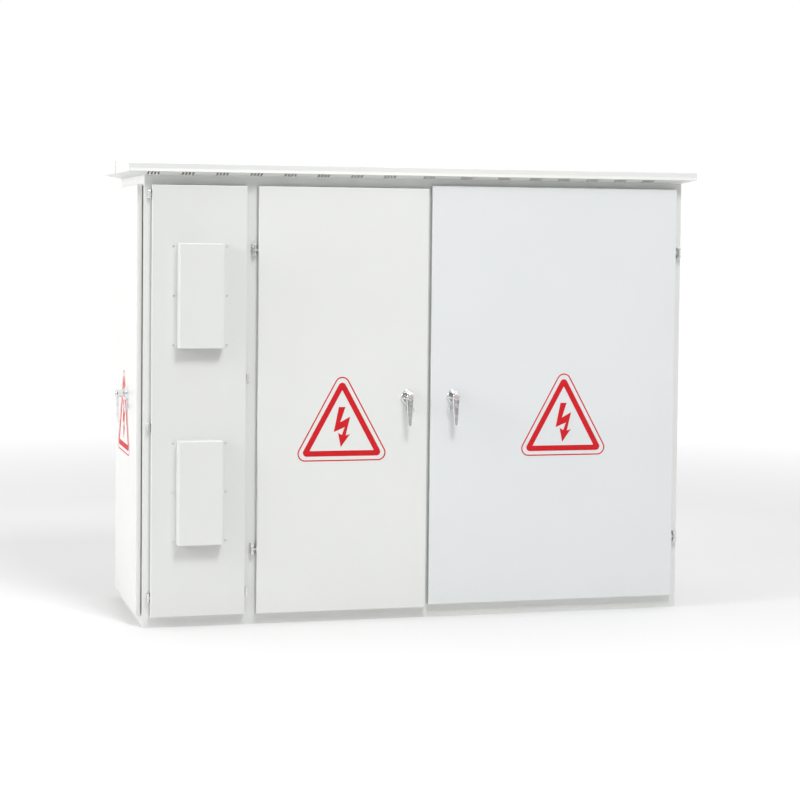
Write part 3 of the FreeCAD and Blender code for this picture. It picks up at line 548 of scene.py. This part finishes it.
# ---------------------------------------------------------------- bolts and inside trim
def hex_bolt(place, across, tall, washer):
    """Hexagon head with a chamfered top on a round washer."""
    turned = lathe([(washer, 0.0), (washer, 1.2), (washer - 0.5, 1.6), (across * 0.5, 1.6)], place, 32)
    corner = across / math.sqrt(3)
    rows = [(corner, 1.4), (corner, tall - 0.8), (corner * 0.9, tall)]
    return merged([turned, lathe(rows, place, 6)])


def from_front(x, y, z):
    return lambda u, w, out: Vector((x + u * MM, y - out * MM, z + w * MM))


def from_above(x, y, z):
    return lambda u, w, out: Vector((x + u * MM, y + w * MM, z + out * MM))


LID_EDGE = 12 * MM                 # bolt centres in from the lid's edge
LUG_HALF_WIDTH, LUG_ARCH, LUG_HOLE = 30.0, 22.0, 11.0
LUG_HOLE_HEIGHT = 28.0
LUG_HALF_THICK = 4 * MM
LUG_PLACE = 0.34                   # share of the lid's length from its middle
GAUGE_DROP = 170 * MM


def arc(radius_across, radius_up, height, degrees):
    """Points on an ellipse standing at a height."""
    turns = [math.radians(a) for a in degrees]
    return [(radius_across * math.cos(t), height + radius_up * math.sin(t)) for t in turns]


def make_tank_trim():
    low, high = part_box("tank_lid")
    edge = LID_EDGE
    spots = []
    for k in range(9):
        x = low.x + edge + k * (high.x - low.x - 2 * edge) / 8
        spots += [(x, low.y + edge), (x, high.y - edge)]
    for k in range(1, 5):
        y = low.y + edge + k * (high.y - low.y - 2 * edge) / 5
        spots += [(low.x + edge, y), (high.x - edge, y)]
    bolts = [hex_bolt(from_above(x, y, high.z), 13, 8, 9) for x, y in spots]
    piece("tank_lid_bolts", *merged(bolts), "cabinet", "plated_steel")

    lugs = []
    for side in (-1, 1):
        x = (low.x + high.x) / 2 + side * (high.x - low.x) * LUG_PLACE
        y = (low.y + high.y) / 2
        foot = [(-LUG_HALF_WIDTH, 0), (LUG_HALF_WIDTH, 0)]
        arch = foot + arc(LUG_HALF_WIDTH, LUG_ARCH, LUG_HOLE_HEIGHT, range(0, 181, 12))
        eye = arc(LUG_HOLE, LUG_HOLE, LUG_HOLE_HEIGHT, range(0, 360, 20))
        lugs.append(plate_with_hole(arch, eye, x - LUG_HALF_THICK, x + LUG_HALF_THICK, y, high.z))
    piece("tank_lifting_lugs", *merged(lugs), "cabinet", "tank_paint")

    gauge = from_front((low.x + high.x) / 2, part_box("tank")[0].y - 1 * MM, high.z - GAUGE_DROP)
    rim = [(0.1, 0), (34, 0), (34, 10), (32, 12), (27, 12), (26, 10), (0.1, 10)]
    piece("oil_gauge", *lathe(rim, gauge), "cabinet", "chrome_casting")
    needle = [(-1.2, -8), (1.2, -8), (0.5, 20), (-0.5, 20)]
    piece("oil_gauge_needle", *extrude(needle, lambda p: gauge(p[0], p[1], 10.4),
                                       lambda p: gauge(p[0], p[1], 11.0)), "cabinet", "toggle_plastic")


def plate_with_hole(outline, hole, x0, x1, y, z):
    """An upright plate in the Y-Z plane with a hole, split into quads from hole to rim."""
    centre = (0.0, LUG_HOLE_HEIGHT)
    rim = []
    for px, pz in hole:
        angle = math.atan2(pz - centre[1], px - centre[0])
        rim.append(ray_to_outline(centre, angle, outline))

    def near(p):
        return Vector((x0, y + p[0] * MM, z + p[1] * MM))

    def far(p):
        return Vector((x1, y + p[0] * MM, z + p[1] * MM))

    return tube_ring(rim, hole, near, far)


def ray_to_outline(centre, angle, outline):
    """Nearest point of an outline from a centre, in the direction of an angle."""
    direction = (math.cos(angle), math.sin(angle))
    best = None
    for (ax, az), (bx, bz) in zip(outline, outline[1:] + outline[:1]):
        ex, ez = bx - ax, bz - az
        cross = direction[0] * ez - direction[1] * ex
        if abs(cross) < 1e-9:
            continue
        along = ((ax - centre[0]) * ez - (az - centre[1]) * ex) / cross
        share = ((ax - centre[0]) * direction[1] - (az - centre[1]) * direction[0]) / cross
        if along > 0 and -1e-6 <= share <= 1 + 1e-6 and (best is None or along < best):
            best = along
    return (centre[0] + best * direction[0], centre[1] + best * direction[1])


def make_board_trim():
    main_low, main_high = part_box("main_breaker")
    feed_low, feed_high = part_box("feeder_breakers")
    bolts = []
    for part, spots in (("main_breaker", breaker_corners(main_low, main_high)),
                        ("feeder_breakers", feeder_corners(feed_low, feed_high))):
        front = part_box(part)[0].y
        bolts += [hex_bolt(from_front(x, front, z), 8, 5, 6) for x, z in spots]
    piece("breaker_screws", *merged(bolts), "cabinet", "plated_steel")

    meter_low, meter_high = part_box("energy_meter")
    inset, lip = 26 * MM, 2.6 * MM
    x0, x1 = meter_low.x + inset, meter_high.x - inset
    z0, z1 = meter_high.z - 89 * MM, meter_high.z - 31 * MM
    y = meter_low.y + lip
    cover = [(x0, z0), (x1, z0), (x1, z1), (x0, z1)]
    piece("meter_display", *extrude(cover, lambda p: Vector((p[0], y, p[1])),
                                    lambda p: Vector((p[0], y - 1.2 * MM, p[1]))),
          "cabinet", "meter_plastic", display_cover)
    grooves = []
    for k in range(7):
        z = meter_low.z + (22 + 9 * k) * MM
        grooves.append(rounded_bar(meter_low.x + 30 * MM, meter_high.x - 30 * MM, meter_low.y, z))
    piece("meter_terminal_ribs", *merged(grooves), "cabinet", "meter_plastic")


def half_round(ends, place, steps=8):
    """A half-round rib: place(end, across, out) gives a point of a unit half circle at an end."""
    verts = []
    for end in ends:
        for k in range(steps + 1):
            angle = math.pi * k / steps
            verts.append(place(end, math.cos(angle), math.sin(angle)))
    count = steps + 1
    faces = [(k, k + 1, count + k + 1, count + k) for k in range(steps)]
    faces.append((0, count, 2 * count - 1, steps))
    faces += [tuple(range(count)), tuple(range(count, 2 * count))[::-1]]
    return verts, faces


def rounded_bar(x0, x1, y, z, radius=2.2):
    """A half-round rib along X, standing out of a face that looks to the front."""
    def place(x, across, out):
        return Vector((x, y - radius * MM * out, z + radius * MM * across))

    return half_round((x0, x1), place)


def breaker_corners(low, high):
    edge = 12 * MM
    return [(x, z) for x in (low.x + edge, high.x - edge) for z in (low.z + edge, high.z - edge)]


def feeder_corners(low, high):
    width, pitch, edge = 100 * MM, 150 * MM, 10 * MM
    spots = []
    for k in range(3):
        left = low.x + k * pitch
        sides = (left + edge, left + width - edge)
        spots += [(x, z) for x in sides for z in (low.z + edge, high.z - edge)]
    return spots


# ---------------------------------------------------------------- cabinet trim
BEAD_RADIUS = 1.4 * MM
BEAD_FLATNESS = 0.6                # how far the bead stands out, as a share of its half width


def make_roof_bead():
    """Sealant bead where the two halves of the roof meet, up the left fascia."""
    low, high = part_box("roof_cap")
    y = (low.y + high.y) / 2 + 20 * MM

    def place(z, across, out):
        return Vector((low.x - BEAD_RADIUS * out * BEAD_FLATNESS, y + BEAD_RADIUS * across, z))

    verts, faces = half_round((low.z + 1 * MM, high.z - 18 * MM), place)
    sealant = moulded("sealant", (0.30, 0.30, 0.29))
    piece("roof_seam_bead", verts, faces, "cabinet", "seal_rubber", sealant)


# ---------------------------------------------------------------- studio
FRONT_WALL, BACK_WALL = 0.14, 1.02  # brightness of the studio in front of the doors and elsewhere
FRONT_CONE = (-0.85, -0.30)         # how squarely a direction faces the front, full and none
FADE = (3.2, 6.5)                   # distance over which the floor turns into the wall
FLOOR_RADIUS = 60.0
LENS, SENSOR_WIDTH, SHIFT_UP = 90.97, 36.0, -0.1
CAMERA_PLACE = (-1.9684, -7.4109, 1.4126)
CAMERA_TURN, CAMERA_TILT, CAMERA_ROLL = -14.931, -2.525, -0.585  # degrees


def wall_level(tree, direction):
    """Brightness of the studio wall in a direction: dimmer only straight in front of the doors."""
    parts = tree.nodes.new("ShaderNodeSeparateXYZ")
    level = tree.nodes.new("ShaderNodeMapRange")
    tree.links.new(direction, parts.inputs["Vector"])
    for name, value in zip(("From Min", "From Max", "To Min", "To Max"),
                           FRONT_CONE + (FRONT_WALL, BACK_WALL)):
        level.inputs[name].default_value = value
    tree.links.new(parts.outputs["Y"], level.inputs["Value"])
    return level.outputs["Result"]


def make_floor():
    """A round floor, finer near the cabinet, that fades into the wall's brightness."""
    rings, around = 24, 64
    verts, faces = [Vector((0, 0, 0))], []
    for ring in range(1, rings + 1):
        radius = FLOOR_RADIUS * (ring / rings) ** 2
        for k in range(around):
            angle = 2 * math.pi * k / around
            verts.append(Vector((radius * math.cos(angle), radius * math.sin(angle), 0.0)))
    for k in range(around):
        faces.append((0, 1 + k, 1 + (k + 1) % around))
    for ring in range(rings - 1):
        for k in range(around):
            j = (k + 1) % around
            a, b = 1 + ring * around, 1 + (ring + 1) * around
            faces.append((a + k, b + k, b + j, a + j))
    data = bpy.data.meshes.new("studio_floor")
    data.from_pydata([tuple(v) for v in verts], [], faces)
    floor = bpy.data.objects.new("studio_floor", data)
    bpy.context.scene.collection.objects.link(floor)
    made = Finish("studio_floor", roughness=0.85, specular=0.1)
    made.colour(made.mix(made.spread(made.noise(0.6), 0.0, 1.0), (0.76, 0.76, 0.76), (0.75, 0.75, 0.75)))
    distance = made.node("ShaderNodeVectorMath", operation="LENGTH")
    heading = made.node("ShaderNodeVectorMath", operation="NORMALIZE")
    made.link(made.place, distance.inputs[0])
    made.link(made.place, heading.inputs[0])
    glow = made.node("ShaderNodeEmission")
    made.link(wall_level(made.tree, heading.outputs["Vector"]), glow.inputs["Strength"])
    blend = made.node("ShaderNodeMixShader")
    made.link(made.spread(distance.outputs["Value"], 0.0, 1.0, *FADE), blend.inputs["Fac"])
    made.link(made.shader.outputs["BSDF"], blend.inputs[1])
    made.link(glow.outputs["Emission"], blend.inputs[2])
    made.link(blend.outputs["Shader"], made.tree.nodes["Material Output"].inputs["Surface"])
    data.materials.append(made.material)
    floor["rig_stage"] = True


def area_light(name, place, aim, size, power):
    data = bpy.data.lights.new(name, "AREA")
    data.shape = "DISK"
    data.size = size
    data.energy = power
    light = bpy.data.objects.new(name, data)
    light.location = place
    light.rotation_euler = (Vector(aim) - Vector(place)).to_track_quat("-Z", "Y").to_euler()
    light.visible_camera = False
    bpy.context.scene.collection.objects.link(light)


def make_studio():
    """A white studio whose wall behind the cabinet is the brightest, lit from the left and above."""
    world = bpy.data.worlds.new("studio")
    world.use_nodes = True
    tree = world.node_tree
    direction = tree.nodes.new("ShaderNodeTexCoord").outputs["Generated"]
    background = tree.nodes["Background"]
    background.inputs["Color"].default_value = (1.0, 1.0, 1.0, 1.0)
    tree.links.new(wall_level(tree, direction), background.inputs["Strength"])
    bpy.context.scene.world = world
    area_light("key", (-7.0, -1.6, 3.2), (-1.0, 0.0, 0.8), 2.2, 185.0)
    area_light("overhead", (0.3, -4.0, 5.8), (0.1, 0.0, 0.7), 1.8, 190.0)
    area_light("softbox", (2.6, -8.4, 0.9), (0.0, 0.0, 0.9), 4.2, 52.0)
    make_floor()


def make_camera():
    data = bpy.data.cameras.new("camera")
    data.sensor_width = SENSOR_WIDTH
    data.lens = LENS
    data.shift_y = SHIFT_UP
    data.clip_end = 200.0
    camera = bpy.data.objects.new("camera", data)
    camera.location = CAMERA_PLACE
    turn, tilt, roll = (math.radians(a) for a in (CAMERA_TURN, CAMERA_TILT, CAMERA_ROLL))
    facing = Euler((0, 0, turn)).to_matrix() @ Euler((tilt, 0, 0)).to_matrix()
    facing = facing @ Euler((0, roll, 0)).to_matrix() @ Euler((math.radians(90), 0, 0)).to_matrix()
    camera.rotation_euler = facing.to_euler()
    bpy.context.scene.collection.objects.link(camera)
    bpy.context.scene.camera = camera
    bpy.context.scene.view_settings.view_transform = "Standard"


def write_sizes():
    boxes = {"cad": cad_box, "visual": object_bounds()}
    plain = {key: [list(corner) for corner in corners] for key, corners in boxes.items()}


dress_cad_nodes()
make_signs()
make_levers()
make_tank_trim()
make_board_trim()
make_roof_bead()
make_studio()
make_camera()
write_sizes()
